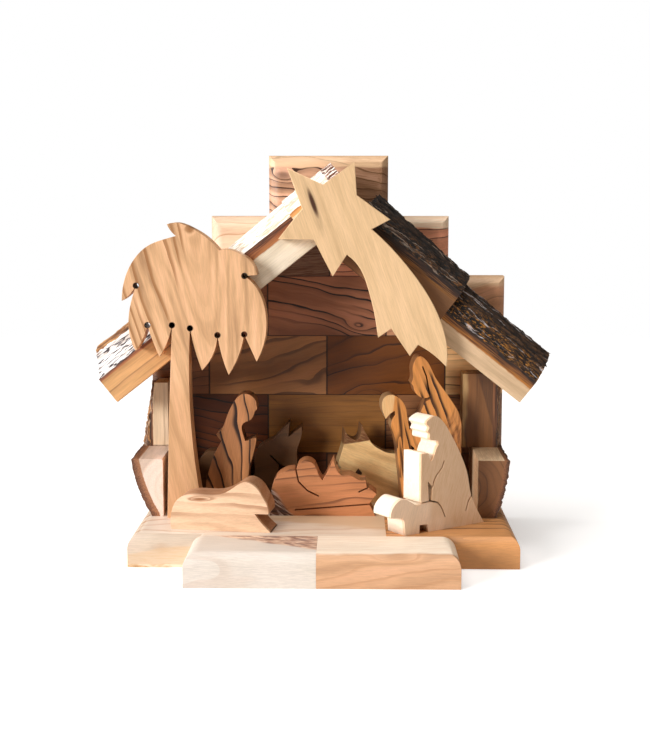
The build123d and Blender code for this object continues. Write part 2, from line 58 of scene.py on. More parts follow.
def placed(name, data):
    """A new object in the scene."""
    made = bpy.data.objects.new(name, data)
    scene.collection.objects.link(made)
    return made


# %% [markdown]
# ## Camera
# The photograph was taken from a little over half a metre in front, just above the star, looking
# slightly down. The lens follows from the focal length in pixels: Blender's sensor width belongs to
# the long side of the picture, which is its height here.

# %% Camera
picture_height_px = 750
focal_length_px = 1334.3
sensor_width = 36.0
camera_place = Vector((11.2, -537.1, 140.7)) * mm
look_down = math.radians(7.612)
look_left = math.radians(1.214)
look = Vector((
    -math.sin(look_left) * math.cos(look_down),
    math.cos(look_left) * math.cos(look_down),
    -math.sin(look_down),
))
camera = placed("camera", bpy.data.cameras.new("camera"))
camera.data.sensor_width = sensor_width
camera.data.lens = focal_length_px * sensor_width / picture_height_px
camera.data.clip_start = 0.01
camera.location = camera_place
camera.rotation_mode = "QUATERNION"
camera.rotation_quaternion = look.to_track_quat("-Z", "Y")
scene.camera = camera
print("lens", round(camera.data.lens, 2), "mm")

# %% [markdown]
# ## Numbers on a surface
# A finish is worked out from numbers that change over the surface. This small class wraps one socket of a
# node tree, so that a sum or a product of two such numbers can be written as plain Python and adds its
# Math node by itself. Every other node comes from one method: first its settings, then its sockets.


# %% A wrapped socket
class Field:
    """A number, vector or colour in a node tree."""

    def __init__(self, socket):
        self.socket = socket
        self.tree = socket.id_data

    def node(self, kind, sockets, out=0, stops=None, **settings):
        made = self.tree.nodes.new(kind)
        for name, value in settings.items():
            setattr(made, name, value)
        if stops:
            ramp = made.color_ramp
            while len(ramp.elements) < len(stops):
                ramp.elements.new(0.5)
            for element, (place, colour) in zip(ramp.elements, stops):
                element.position = place
                element.color = colour
        for name, value in sockets.items():
            if isinstance(value, Field):
                self.tree.links.new(value.socket, made.inputs[name])
            else:
                made.inputs[name].default_value = value
        return Field(made.outputs[out])

    def maths(self, operation, *values, **settings):
        return self.node("ShaderNodeMath", dict(enumerate(values)), operation=operation, **settings)

    def __add__(self, other):
        return self.maths("ADD", self, other)

    def __sub__(self, other):
        return self.maths("SUBTRACT", self, other)

    def __rsub__(self, other):
        return self.maths("SUBTRACT", other, self)

    def __mul__(self, other):
        return self.maths("MULTIPLY", self, other)

    def __truediv__(self, other):
        return self.maths("DIVIDE", self, other)

    __radd__ = __add__
    __rmul__ = __mul__

    def between(self, low, high, to_low=0.0, to_high=1.0):
        """Smoothly from to_low to to_high as this number goes from low to high."""
        sockets = {"Value": self, "From Min": low, "From Max": high, "To Min": to_low, "To Max": to_high}
        return self.node("ShaderNodeMapRange", sockets, interpolation_type="SMOOTHSTEP")

    def noise(self, detail=2.0, roughness=0.5):
        """Soft noise of this vector, about 0.3 to 0.7."""
        sockets = {"Vector": self, "Scale": 1.0, "Detail": detail, "Roughness": roughness}
        return self.node("ShaderNodeTexNoise", sockets)

    def grained(self, along, across, shift=0.0, **settings):
        """Noise drawn out along X, with so many waves in a millimetre along and across."""
        x, y, z = self.parts()
        return self.vector(x * along, y * across, z * across + shift).noise(**settings)

    def line(self, width):
        """1 where this number passes one half, falling to 0 within the width."""
        return self.maths("ABSOLUTE", self - 0.5).between(0.25 * width, width, 1.0, 0.0)

    def vector(self, x, y, z):
        return self.node("ShaderNodeCombineXYZ", {0: x, 1: y, 2: z})

    def parts(self):
        """The three numbers of this vector."""
        split = self.node("ShaderNodeSeparateXYZ", {0: self}).socket.node
        return [Field(split.outputs[i]) for i in range(3)]

    def tones(self, *stops):
        """A colour looked up by this number, from pairs of a place and a colour."""
        stops = [(at, tone(colour)) for at, colour in stops]
        return self.node("ShaderNodeValToRGB", {"Fac": self}, stops=stops)

    def mixed(self, colour, other):
        """A colour mixed with another one by this number."""
        sockets = {"Factor": self, 6: colour, 7: other}
        return self.node("ShaderNodeMix", sockets, out=2, data_type="RGBA")


def tone(code):
    """A colour from its six-digit screen code; a colour that is worked out already stays as it is."""
    if not isinstance(code, str):
        return code
    parts = [int(code[i:i + 2], 16) / 255 for i in (0, 2, 4)]
    linear = [c / 12.92 if c <= 0.04045 else ((c + 0.055) / 1.055) ** 2.4 for c in parts]
    return (*linear, 1.0)


def shades(code, spread):
    """The pale, middle and dark wood of one board around its middle tone."""
    red, green, blue, _ = tone(code)
    light, dark = 1 + 0.8 * spread, 1 - 1.2 * spread
    pale = (min(1.0, red * light), min(1.0, green * light), min(1.0, blue * light * (1 + 0.3 * spread)), 1.0)
    deep = (red * dark, green * dark * (1 - 0.2 * spread), blue * dark * (1 - 0.4 * spread), 1.0)
    return pale, tone(code), deep


def new_finish(name):
    """An empty material with its shader."""
    material = bpy.data.materials.new(name)
    material.use_nodes = True
    shader = material.node_tree.nodes["Principled BSDF"]
    return material, shader


def feed(shader, values):
    """Give the shader's sockets fields or plain values."""
    for name, value in values.items():
        if isinstance(value, Field):
            shader.id_data.links.new(value.socket, shader.inputs[name])
        else:
            shader.inputs[name].default_value = value


def seen_directly(tree):
    """1 for what the camera sees itself, else 0."""
    return Field(tree.nodes.new("ShaderNodeLightPath").outputs["Is Camera Ray"])


print("shader maths ready")

# %% [markdown]
# ## Floor and light
# The photograph has a white ground and one broad light low on the left, so faces that look left are almost
# white and faces that look right are dark. A weaker light from above keeps the tops as bright as the
# fronts, and one from the far left whitens what looks that way. A round pale floor fades into a white
# world. Only the camera sees that at full strength: the wood gets a weak warm fill instead, so that
# shadows stay deep and brown.

# %% Floor
floor_radius = 0.9
floor_fade_from = 0.35
floor_grey = 0.88
floor_glow = 0.35
floor_mesh = bpy.data.meshes.new("floor")
floor_form = bmesh.new()
bmesh.ops.create_circle(floor_form, cap_ends=True, segments=96, radius=floor_radius)
floor_form.to_mesh(floor_mesh)
floor_form.free()
floor = placed("floor", floor_mesh)

floor_finish, shader = new_finish("pale_floor")
seen = seen_directly(floor_finish.node_tree)
start = Field(floor_finish.node_tree.nodes.new("ShaderNodeTexCoord").outputs["Object"])
reach = start.node("ShaderNodeVectorMath", {0: start}, out="Value", operation="LENGTH")
feed(shader, {
    "Base Color": (floor_grey, floor_grey, floor_grey, 1.0), "Roughness": 0.9, "Specular IOR Level": 0.1,
    "Emission Color": seen.vector(seen, seen, seen), "Emission Strength": floor_glow,
    "Alpha": reach.between(floor_fade_from, floor_radius, 1.0, 0.0)})
floor_mesh.materials.append(floor_finish)
print("floor", 2 * floor_radius, "m across")

# %% World and lamps
ambient_level = 0.15
world = bpy.data.worlds.new("white_studio")
scene.world = world
world.use_nodes = True
background = world.node_tree.nodes["Background"]
seen = seen_directly(world.node_tree)
warm_fill = (1.0, 0.82, 0.62, 1.0)
white = (1.0, 1.0, 1.0, 1.0)
strength = ambient_level + (1 - ambient_level) * seen
feed(background, {"Color": seen.mixed(warm_fill, white), "Strength": strength})

lamps = {
    "key_light": (Vector((-0.66, -0.70, 0.27)), 2.5, 20),
    "top_light": (Vector((-0.10, -0.12, 0.98)), 1.7, 60),
    "left_light": (Vector((-0.97, -0.05, 0.22)), 2.5, 40),
}
for name, (towards, strength, spread) in lamps.items():
    lamp = placed(name, bpy.data.lights.new(name, "SUN"))
    lamp.data.energy = strength
    lamp.data.angle = math.radians(spread)
    lamp.rotation_mode = "QUATERNION"
    lamp.rotation_quaternion = towards.to_track_quat("Z", "Y")
scene.view_settings.view_transform = "Standard"
print(len(lamps), "lamps")

# %% [markdown]
# ## Olive wood
# A board shows growth rings that were sawn through: straight lines where the cut runs along the ring,
# nested arches where it runs across. So the pattern is solid. It measures how far a point lies from the
# heart of the branch, sways that distance a little, and looks up bands of colour by it. Fibres and pores
# are fine noise drawn out along the grain. Sizes are in millimetres.
#
# A board is told by its middle tone `wood`, its contrast `spread`, the way its `grain` runs and a place in
# its `heart`. `ring` is the width of a ring, `sway` how far rings wander, `taper` how fast they close.
# `veins` and `late` say how dark and how broad the `vein` at the end of a ring is, and `veined` names a
# plane beyond which veins show.


# %% Places and grain
def solid_place(tree, origin, turn=Quaternion()):
    """Position on the piece in millimetres, seen from a place and a turn."""
    field = Field(tree.nodes.new("ShaderNodeTexCoord").outputs["Object"])
    sockets = {"Location": Vector(origin) * mm, "Rotation": turn.to_euler(), "Scale": (mm, mm, mm)}
    sockets["Vector"] = field
    return field.node("ShaderNodeMapping", sockets, vector_type="TEXTURE")


def beyond(tree, at, way):
    """How far the surface lies past a plane through a place."""
    here = solid_place(tree, at)
    return here.node("ShaderNodeVectorMath", {0: here, 1: way}, out="Value", operation="DOT_PRODUCT")


def grain_turn(grain):
    """The turn that lays X along the grain and Z into the depth of the stable."""
    along = Vector(grain).normalized()
    deep = Vector((0, 1, 0)) if abs(along.y) < 0.9 else Vector((0, 0, 1))
    deep = (deep - along * deep.dot(along)).normalized()
    return Matrix((along, deep.cross(along), deep)).transposed().to_quaternion()


print("places ready")

# %% [markdown]
# ## Knots, veins, stains and painted light
# A knot (place, length, width, darkness) pushes the rings aside. Some rings end in a thin dark vein: the
# part of a ring that is left over after counting whole rings says how near its end is. A zone (place,
# direction, width of its ragged edge, one tone or three, strength) lays a tone on one side of a plane: a
# real stain of the wood on some pieces, painted light or painted shade on others.

# %% Knots, veins and zones
knot_push = 1.6
stain_and_light_stops = (0.40, 0.50, 0.60)


def with_knots(rings, ring, place, turn, heart, knots):
    """Rings that give way to the knots, and how dark the knots are."""
    u, v, _ = place.parts()
    knot_mark = None
    for at, length, width, dark in knots:
        spot = turn.inverted() @ (Vector(at) - Vector(heart))
        du = (u - spot.x) / length
        dv = (v - spot.y) / width
        near = place.maths("EXPONENT", 0.0 - (du * du + dv * dv))
        rings = rings + near * (knot_push * ring)
        mark = near.between(0.25, 0.9) * dark
        knot_mark = mark if knot_mark is None else place.maths("MAXIMUM", knot_mark, mark)
    return rings, knot_mark


def vein_mark(growth, place, veins, late, veined, seed):
    """How dark the end of each ring is: strong on some rings, faint on others."""
    u = place.parts()[0]
    wander = place.grained(0.02, 0.06, seed + 3, detail=1.0) - 0.5
    count = growth + wander * 2.4
    whole = place.maths("FLOOR", count)
    part = count - whole
    strong = place.vector(whole * 3.71, u * 0.012 + seed, seed).noise(detail=0.0).between(0.36, 0.54)
    line = part.between(1 - late, 1 - 0.4 * late) * 0.75
    mark = (line + part.between(0.2, 1.0) * 0.25) * strong * veins
    if veined:
        at, way, width = veined
        mark = mark * beyond(place.tree, at, way).between(0.0, width, 0.15, 1.0)
    return mark


def with_zone(colour, zone, place, fibre, ripple, seed):
    """A colour with the tone of one zone on it, which is a real stain on some pieces and painted light or
    shade on others.
    """
    at, way, width, stain_and_painted_light, strength = zone
    u, v, w = place.parts()
    inside = beyond(place.tree, at, way)
    reach = inside + (fibre - 0.5) * (0.8 * width) + ripple * (2.0 * width)
    stain_and_light_colour = tone(stain_and_painted_light)
    if isinstance(stain_and_painted_light, tuple):
        patch = place.vector(u * 0.16, inside * 0.45 + v * 0.25 + ripple * 3.0, w * 0.25 + seed)
        stain_and_light_colour = patch.noise(detail=3.0).tones(*zip(stain_and_light_stops, stain_and_painted_light))
    cover = reach.between(0.0, width) * fibre.between(0.25, 0.6, 1.15, 0.7) * strength
    return cover.mixed(colour, stain_and_light_colour)


print("knots, veins, zones ready")


# %% Wood figure
def wood_figure(tree, wood, vein, grain, heart, spread=0.2, ring=3.0, sway=2.5, taper=0.0, veins=0.0,
                late=0.25, veined=None, seed=0.0, knots=(), zones=()):
    """Colour, fibre and band fields of olive wood."""
    turn = grain_turn(grain)
    place = solid_place(tree, heart, turn)
    u, v, w = place.parts()
    drift = place.vector(u * 0.018 + seed, v * 0.05, w * 0.05).noise(detail=1.5) - 0.5
    ripple = place.grained(0.09, 0.16, seed, detail=1.0) - 0.5
    rings = place.maths("SQRT", v * v + w * w) + drift * (2 * sway) + ripple * (0.5 * sway) - u * taper
    rings, knot_mark = with_knots(rings, ring, place, turn, heart, knots)
    growth = rings / ring
    bands = place.vector(growth * 0.7, u / (16 * ring), seed).noise(detail=3.0, roughness=0.55)
    fibre = place.grained(0.11, 2.6, seed, detail=3.0, roughness=0.65)
    pores = place.grained(0.45, 5.0, seed, detail=1.0)
    pale, middle, deep = shades(wood, spread)
    colour = bands.tones((0.32, pale), (0.50, middle), (0.68, deep))
    fine = fibre.between(0.3, 0.7, 0.90, 1.06) * pores.between(0.62, 0.74, 1.0, 0.92)
    colour = colour.node("ShaderNodeVectorMath", {0: colour, 3: fine}, operation="SCALE")
    if veins > 0:
        colour = vein_mark(growth, place, veins, late, veined, seed).mixed(colour, tone(vein))
    for zone in zones:
        colour = with_zone(colour, zone, place, fibre, ripple, seed)
    if knot_mark is not None:
        colour = knot_mark.mixed(colour, tone(vein))
    return colour, fibre, bands


print("wood figure ready")

# %% [markdown]
# ## Sanded finish
# The blocks and cut-outs are sanded and lightly oiled, so the fibres only just roughen the shine. Where
# two bricks meet, a hair line of dark glue shows: it is painted on the last half millimetre before the
# seam. The walls of the small holes at the ends of the palm's saw cuts are darkened.

# %% Wood finish
glue_tone = tone("140a06")
glue_solid = 0.18
glue_reach = 0.5
hole_wall_tone = tone("2a150a")
hole_dark_solid = 0.05
hole_dark_reach = 0.3
drill_radius = 1.1


def wood_finish(name, seams=(), darkened_holes=(), **figure):
    """Sanded and lightly oiled olive wood."""
    finish, shader = new_finish(name)
    tree = finish.node_tree
    colour, fibre, bands = wood_figure(tree, **figure)
    here = solid_place(tree, (0, 0, 0)).parts()
    for axis, at in seams:
        off = colour.maths("ABSOLUTE", here[axis] - at)
        colour = (off.between(glue_solid, glue_reach, 1.0, 0.0) * 0.85).mixed(colour, glue_tone)
    # Darken the walls of the drilled holes.
    for x, z in darkened_holes:
        off = colour.vector(here[0] - x, 0.0, here[2] - z)
        off = colour.node("ShaderNodeVectorMath", {0: off}, out="Value", operation="LENGTH")
        hole_darkening = off.between(drill_radius + hole_dark_solid, drill_radius + hole_dark_reach, 1.0, 0.0)
        colour = (hole_darkening * 0.9).mixed(colour, hole_wall_tone)
    height = fibre * 0.7 + bands * 0.5
    bump = {"Strength": 0.12, "Distance": 0.4 * mm, "Height": height}
    feed(shader, {
        "Base Color": colour, "Roughness": fibre.between(0.25, 0.75, 0.37, 0.59),
        "Specular IOR Level": 0.35, "Coat Weight": 0.1, "Coat Roughness": 0.3,
        "Normal": height.node("ShaderNodeBump", bump)})
    return finish


print("wood finish ready")

# %% [markdown]
# ## Sanded edges
# No edge of the real piece is perfectly sharp. A copy of each solid is merged, its flat faces are joined
# again, and a narrow bevel runs along every outer edge but those that run through a cut-out's board.
# Tips and tongues have less room, so each edge first looks across its two faces with a ray and takes a
# narrower bevel if the other side is near. Weighted normals keep the flat faces flat. If a face still
# folds over, the bevel is made again at half its width.

# %% Room for a bevel
merge_gap = 0.002
flat_angle = math.radians(1)
edge_angle = math.radians(38)
edge_inset = 0.04
room_share = 0.4


def weigh_edges(form, solid, edge, cut_out):
    """Give each outer edge a bevel weight by the room it has."""
    weight = form.edges.layers.float.new("bevel_weight_edge")
    thickness = max(form.faces, key=lambda face: face.calc_area()).normal.copy()
    room = {}
    lines = []
    for line in form.edges:
        if len(line.link_faces) != 2 or not line.is_convex or line.calc_face_angle() < edge_angle:
            continue
        first, last = (v.co for v in line.verts)
        if cut_out and abs((last - first).normalized().dot(thickness)) > 0.9:
            continue
        lines.append(line)
        one, other = (face.normal for face in line.link_faces)
        inside = (first + last) / 2 - (one + other) * edge_inset * mm
        for mine, beside in ((one, other), (other, one)):
            inward = -(beside - mine * mine.dot(beside)).normalized()
            hit = solid.ray_cast(inside, inward)
            for vert in line.verts:
                room[vert] = min(room.get(vert, 1.0), room_share * (hit[3] or 0.0) / (edge * mm))
    for line in lines:
        line[weight] = min(room[vert] for vert in line.verts)


print("bevel weights ready")


# %% Softened copy
def softened(node, finish, edge, cut_out=False):
    """A copy of a solid with its edges eased, standing for that solid."""
    form = bmesh.new()
    form.from_mesh(solids[node].data)
    bmesh.ops.remove_doubles(form, verts=form.verts, dist=merge_gap * mm)
    bmesh.ops.dissolve_limit(form, angle_limit=flat_angle, verts=form.verts, edges=form.edges)
    form.normal_update()
    solid = BVHTree.FromBMesh(form)
    weigh_edges(form, solid, edge, cut_out)
    sawn = bpy.data.meshes.new(f"{node}_sawn")
    form.to_mesh(sawn)
    form.free()
    sawn.shade_smooth()
    for width in (edge, edge / 2, edge / 4):
        draft = placed("draft", sawn)
        bevel = draft.modifiers.new("eased_edges", "BEVEL")
        bevel.width = width * mm
        bevel.segments = 2
        bevel.limit_method = "WEIGHT"
        bevel.use_clamp_overlap = False
        draft.modifiers.new("flat_faces", "WEIGHTED_NORMAL").keep_sharp = True
        mesh = baked(draft)
        if sound(mesh, solid, width * mm):
            break
        print(node, "bevel", width, "folds over")
    return settle(mesh, f"{node}_wood", node, finish)


def baked(draft):
    """The plain mesh of a draft with its modifiers, which is then done with."""
    graph = bpy.context.evaluated_depsgraph_get()
    mesh = bpy.data.meshes.new_from_object(draft.evaluated_get(graph), depsgraph=graph)
    bpy.data.objects.remove(draft)
    return mesh


def sound(mesh, solid, width):
    """Whether each face of an eased copy lies near the solid and looks the same way."""
    for face in mesh.polygons:
        _, normal, _, gap = solid.find_nearest(face.center)
        if gap > width or normal.dot(face.normal) < -0.2:
            return False
    return True


def settle(mesh, name, node, finish):
    """Make a mesh the piece that stands for a solid."""
    mesh.materials.clear()
    mesh.materials.append(finish)
    mesh.name = name
    piece = placed(name, mesh)
    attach(piece, "root")
    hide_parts(node)
    return piece


print("softened copies ready")

# %% [markdown]
# ## Base and step
# Four blocks of different boards, sanded flush after glueing, so only a hair line shows between them.
# The left board is pale sapwood with a painted highlight on its top, tan towards the back and low on its
# front, and rough at its foot; the right one is orange heartwood. The left step block is pale too, with a
# red-brown streak across its back, and the right one shows closing arches under a painted highlight on its
# top.

# %% Base and step
seam_edge = 0.12
rough_foot = ((0, 0, 1.5), (0, 0, -1), 0.8, ("a8764a", "dcb88c", "f2dfc4"), 0.8)
base_woods = {
    "base_board_left": dict(
        wood="d5c2ae", vein="b27a46", grain=(1, 0.06, 0.02), heart=(0, 10, -22), ring=5.0, sway=5.0,
        veins=1.3, seed=1.0,
        zones=(
            ((-62.2, -42, 7.7), (0.12, 0, -0.99), 1.2, "d8b184", 0.6),
            # Painted highlight on the top face.
            ((0, 0, 12.3), (0, 0, 1), 0.3, "fff4e6", 0.5),
            ((-10, -24, 12.7), (0.3, 0.95, 0), 5.0, "d2a468", 0.6),
            rough_foot)),
    "base_board_right": dict(
        wood="cd915a", vein="4d2f1c", grain=(1, 0.08, 0.0), heart=(50, 10, -20), ring=4.0, sway=2.4,
        veins=0.7, seed=3.3),
    "step_block_left": dict(
        wood="dbcfc2", vein="b57c55", grain=(1, -0.08, 0.01), heart=(-20, -20, 2), spread=0.12, ring=5.0,
        sway=3.0, veins=0.15, seed=4.2,
        zones=(((-36.9, -45.5, 12.7), (0.45, 0.893, 0.0), 2.0, ("7a4630", "b88262", "e6c4a6"), 0.95),)),
    "step_block_right": dict(
        wood="d0a17a", vein="a9713f", grain=(1, 0.05, 0.0), heart=(30, -75, -16), ring=4.5, sway=5.0,
        taper=0.12, veins=0.3, seed=6.1, knots=(((28.7, -69, 11.0), 9.0, 1.8, 0.1),),
        # Painted highlight on the top edge and top face.
        zones=(((0, -66.3, 11.6), (0, 0.5, 0.87), 1.5, "fdf0dc", 0.95),)),
}
for node, wood in base_woods.items():
    softened(node, wood_finish(f"{node}_wood", **wood), seam_edge)
print(len(base_woods), "base blocks")

# %% [markdown]
# ## Back wall
# Bricks from many offcuts, so each one has its own tone and figure, always with the grain lying roughly
# along the brick. Its heart lies just behind the front face and above or below the brick, so rings cross
# the face as wavy lines. `rise` is how far the heart lies above the brick's middle, and `tilt` how steeply
# the grain climbs. A brick darkens its bottom and those of its ends that touch a neighbour. Tones inside
# the stable are darker partly as painted shade, and zones paint the star's shadow, shade inside the stable
# and highlights on top edges.

# %% Tones of the bricks
thin_vein = 0.16
bold = 0.3
figure_words = ("wood", "vein", "ring", "sway", "veins")
# Each row: the five figure words, then rise and tilt.
# Bricks inside the stable get darker tones, partly their own dark heartwood and partly painted shade under
# the roof; 4_4 is paler partly as painted light through the opening.
brick_woods = {
    "1_1": ("d4a484", "3f2213", 3.4, 6.0, 1.4, -16, -0.12),
    "2_1": ("eac7a9", "a4662f", 5.0, 5.0, 0.5, 14, 0.1),
    "2_2": ("f6a580", "3a2113", 3.0, 3.0, 0.9, -17, 0.05),
    "3_1": ("845438", "4a2a17", 4.0, 4.0, 0.5, 15, 0.04),
    "3_2": ("a56a4a", "21110b", 3.4, 6.0, 1.4, -19, -0.2),
    "3_3": ("d99c74", "6a4429", 5.0, 3.0, 0.4, 16, 0.3),
    "4_1": ("875634", "2c1710", 3.0, 3.0, 0.6, -15, 0.06),
    "4_2": ("a67144", "4a3020", 5.5, 6.0, 0.7, -17, 0.22),
    "4_3": ("754010", "21110b", 6.0, 8.0, 0.9, 18, 0.2),
    "4_4": ("f4bf82", "3a2113", 2.6, 2.0, 0.8, -16, 0.02),
    "5_1": ("5e2c0b", "1c0e08", 3.6, 4.0, 1.3, 17, -0.14),
    "5_2": ("95622b", "4a3320", 2.2, 2.0, 0.35, -18, 0.0),
    "5_3": ("96643e", "2c1710", 2.6, 3.0, 0.8, 16, 0.05),
    "6_1": ("623720", "21110b", 3.0, 3.0, 0.8, -13, 0.0),
    "6_2": ("623720", "21110b", 4.0, 4.0, 0.8, 13, 0.1),
    "6_3": ("744729", "2c1710", 4.0, 4.0, 0.8, -13, -0.06),
    "6_4": ("744729", "2c1710", 3.0, 3.0, 0.6, 13, 0.03),
}
brick_figure_and_painted_light = {
    "1_1": dict(
        spread=bold, knots=(((-18.5, 30, 149.3), 5.0, 2.4, 0.5),),
        zones=(
            # Painted shadow of the star on the right part, and a painted highlight on the top edge.
            ((5, 30, 145), (1, 0, 0.1), 8.0, "7c5434", 0.8),
            ((0, 30, 152.6), (0, 0, 1), 1.0, "efc79c", 0.8))),
    # Painted shade on the part inside the stable.
    "2_1": dict(zones=(((-30, 30, 110), (1, 0, -0.5), 5.0, "6a4026", 1.2),)),
    # Painted highlight on the top edge.
    "2_2": dict(zones=(((0, 30, 127.0), (0, 0, 1), 1.0, "fce4c4", 1.0),)),
    "3_2": dict(
        spread=bold, late=0.26,
        knots=(((23.5, 30, 93.0), 3.0, 2.0, 0.7), ((13.0, 30, 86.0), 5.0, 2.2, 0.1))),
    # Painted highlight on the top edge.
    "3_3": dict(zones=(((0, 30, 101.4), (0, 0, 1), 3.0, "f2cfa6", 0.8),)),
    "4_2": dict(spread=bold, late=0.3),
    "4_3": dict(spread=bold, knots=(((17.0, 30, 55.5), 9.0, 5.0, 0.0),)),
    "5_1": dict(spread=bold),
}
print(len(brick_woods), "brick tones")

# %% Bricks
heart_behind_face = 4
touching = 0.5
across, upright = 0, 2
boxes = {name: [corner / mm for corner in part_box(f"wall_brick_{name}")] for name in brick_woods}
for number, (name, row) in enumerate(brick_woods.items()):
    node = f"wall_brick_{name}"
    low, high = boxes[name]
    course = [box for other, box in boxes.items() if other[0] == name[0]]
    seams = [(upright, low.z)]
    if any(abs(box[1].x - low.x) < touching for box in course):
        seams.append((across, low.x))
    if any(abs(box[0].x - high.x) < touching for box in course):
        seams.append((across, high.x))
    *figure, rise, tilt = row
    wood = dict(zip(figure_words, figure), late=thin_vein, grain=(1, 0, tilt), seed=3.1 * number)
    middle = (low + high) / 2
    wood["heart"] = Vector((middle.x, low.y + heart_behind_face, middle.z + rise))
    wood.update(brick_figure_and_painted_light.get(name, {}))
    softened(node, wood_finish(f"{node}_wood", seams, **wood), seam_edge)
print(len(brick_woods), "bricks")

# %% [markdown]
# ## Cut-outs
# Each flat piece came from its own board, so each has its own heart, grain direction and tones: the palm
# shows a soft V of rings, brown stripes on its left and a small knot, the star a pale board with a dark
# streak, the figures bold stripes, and one corner of the manger a patch of ingrown bark. A zone that
# starts just behind the front face gives the sawn rim its own tone: painted shade on the sheep, the ox and
# the kneeling and standing figures, painted light on the shepherd. The palm's drilled holes are found on
# the imported solid: from each small face of a hole's wall, the drill's radius leads to the same axis.


# %% Drilled holes
def drilled_holes(node, radius, near=0.3, open_share=0.2, fewest=20):
    """Places of the round holes through an upright board, found from their walls."""
    walls = []
    for face in solids[node].data.polygons:
        if abs(face.normal.y) > 0.1:
            continue
        axis = (face.center / mm + face.normal * radius).xz
        wall = next((wall for wall in walls if (wall[0][0] - axis).length < near), None)
        if wall is None:
            wall = []
            walls.append(wall)
        wall.append((axis, face.normal.xz))
    holes = []
    for wall in walls:
        axis, facing = (sum(part, Vector((0, 0))) / len(wall) for part in zip(*wall))
        if len(wall) >= fewest and facing.length < open_share:
            holes.append(axis)
    return holes


palm_holes = drilled_holes("palm_tree", drill_radius)
print(len(palm_holes), "drilled holes in the palm")

# %% Palm, star, animals and figures
cut_edge = 0.3
cut_out_woods = {
    "palm_tree": dict(
        wood="e0b083", vein="96602f", grain=(-0.15, 0, 1), heart=(-46.7, -11.0, 95), spread=0.34, ring=3.2,
        sway=1.9, taper=0.15, veins=0.75, late=0.45, veined=((-55, 0, 110), (-1, 0, 0.2), 5.0), seed=3.0,
        zones=(((-56, -10, 74), (0, 0, -1), 14.0, "c69466", 0.6),),
        knots=(((-52.6, -14.6, 128.4), 2.2, 2.0, 0.7),), darkened_holes=palm_holes),
    "comet_star": dict(
        wood="e1bc8f", vein="4a2a1a", grain=(-0.36, 0, 1), heart=(60, 10, 90), spread=0.12, ring=3.2,
        sway=1.2, seed=8.0,
        knots=(((-4.6, -13.6, 138.2), 7.5, 1.3, 1.0), ((-4.4, -13.6, 137.0), 14.0, 2.2, 0.2))),
    "lying_sheep": dict(
        wood="e8c19e", vein="8e5528", grain=(1, 0, 0.04), heart=(-36, -26, 4), ring=4.4, sway=3.0, seed=5.0,
        veins=0.6, late=0.5, knots=(((-48, -31, 24.9), 4.5, 0.9, 0.8),),
        # Painted shade on the rim.
        zones=(((-20.3, -36.7, 20), (0.139, 0.99, 0), 1.0, "86491c", 0.85),)),
    "manger_with_infant": dict(
        wood="c58255", vein="42241a", grain=(1, 0, 0.06), heart=(0, -2, 2), ring=3.4, sway=3.0, seed=11.0,
        veins=0.6, zones=(((-15, -10, 17), (-0.8, 0, -0.6), 2.0, ("1e1214", "5a4440", "c4b4aa"), 1.1),)),
    "kneeling_figure": dict(
        wood="bf8252", vein="2a150e", grain=(0.2, 0, 1), heart=(-46, 7, 40), ring=2.8, sway=3.0, taper=-0.22,
        # Its zone is painted shade on the rim.
        seed=14.0, spread=0.34, veins=1.0, zones=(((-40, -0.2, 40), (0, 1, 0), 0.4, "5e3c28", 0.75),)),
    "donkey": dict(
        wood="634225", vein="2a170e", grain=(1, 0, 0.1), heart=(-30, 50, 0), ring=4.0, sway=2.0, seed=17.0,
        veins=0.3),
    "ox": dict(
        wood="f8cf91", vein="5c3a20", grain=(1, 0, -0.4), heart=(20, 20, 60), ring=2.4, sway=1.5, seed=20.0,
        veins=0.08,
        zones=(
            ((12.5, 14, 38.4), (-0.16, 0, 0.99), 0.5, "74492a", 1.2),
            # Painted shade on the rim.
            ((5.1, 13.2, 30), (-0.139, 0.99, 0), 0.4, "5c3c24", 0.8))),
    "standing_figure": dict(
        wood="de9651", vein="3a2014", grain=(-0.12, 0, 1), heart=(66, 4, 30), ring=3.0, sway=3.4, taper=0.25,
        seed=23.0, veins=1.0, late=0.5, veined=((39, 0, 66), (0.9, 0, -0.44), 4.0),
        knots=(((30.6, 4, 50), 11.0, 0.9, 0.9), ((31.6, 4, 32), 11.0, 0.8, 0.9)),
        zones=(
            ((28.2, 4, 57), (-0.99, 0, 0.12), 0.5, "f2cc94", 0.9),
            ((49.0, 4, 50), (0.85, 0, -0.53), 3.0, ("4a2a18", "9a6238", "cc8e54"), 0.85),
            # Painted shade on the rim.
            ((23.0, 3.3, 40), (-0.105, 0.995, 0), 0.4, "6e4c38", 0.8))),
    "shepherd_with_lamb": dict(
        wood="eacbad", vein="c9a273", grain=(0.25, 0.1, 1), heart=(20, 60, 0), spread=0.08, ring=4.0,
        sway=1.5, seed=26.0,
        zones=(
            ((34, -38, 24), (0.8, 0, 0.6), 12.0, "d4aa80", 0.9),
            # Painted light on the rim.
            ((25.0, -44.7, 20), (-0.579, 0.815, 0), 0.6, "f8ecda", 0.9))),
}
for node, wood in cut_out_woods.items():
    softened(node, wood_finish(f"{node}_wood", **wood), cut_edge, cut_out=True)
print(len(cut_out_woods), "cut-outs")

# %% [markdown]
# ## Logs with bark
# A roof slab or a side log is a split branch: sawn flat on some sides, rough bark on one. Bark in relief
# needs many small faces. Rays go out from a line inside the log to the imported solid, ring after ring, so
# the new skin has exactly its form. Near an end that is cut at a slant the rings lean with the cut. Each
# point keeps two notes for later: where it lies along, across and out of the log, and how much it belongs
# to the rind. On a sawn end that note falls with the distance from the bark, so the rind is an even band.

